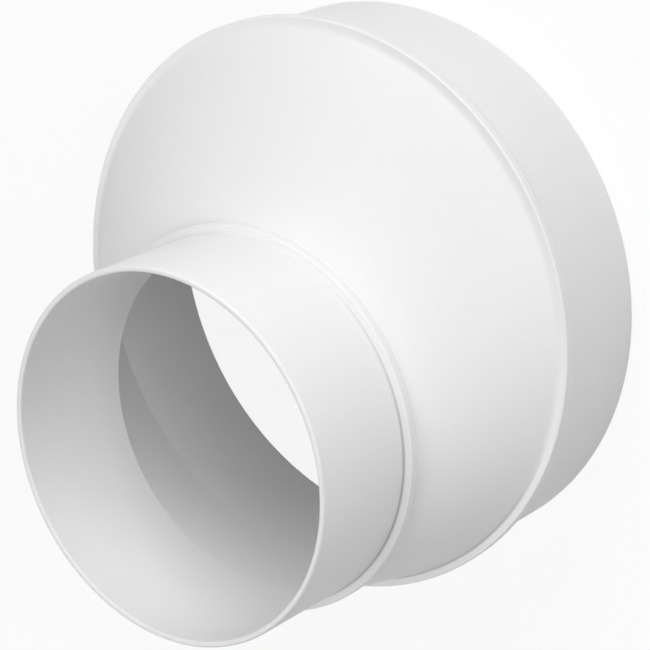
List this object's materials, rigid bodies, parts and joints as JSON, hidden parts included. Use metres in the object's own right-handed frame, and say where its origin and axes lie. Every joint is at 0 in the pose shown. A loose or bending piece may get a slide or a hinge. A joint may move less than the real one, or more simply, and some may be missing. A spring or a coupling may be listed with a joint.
{
  "type": "duct reducer",
  "caption": "Moulded plastic reducer joining a large round duct to a smaller one: open spigots with stop collars either side of an off-centre cone that keeps a straight side.",
  "frame": {"origin": "centre of the large rim, on the surface that the part stands on", "axes": "+Z along both spigots' axes, from the large end to the small end; +X towards the straight side, the way the small spigot is set over"},
  "size_m": [0.1543, 0.1542, 0.0935],
  "materials": {
    "white_plastic": "smooth moulded white plastic with a soft gloss"
  },
  "bodies": {
    "root": {"reducer_body": "white_plastic"}
  },
  "joints": []
}
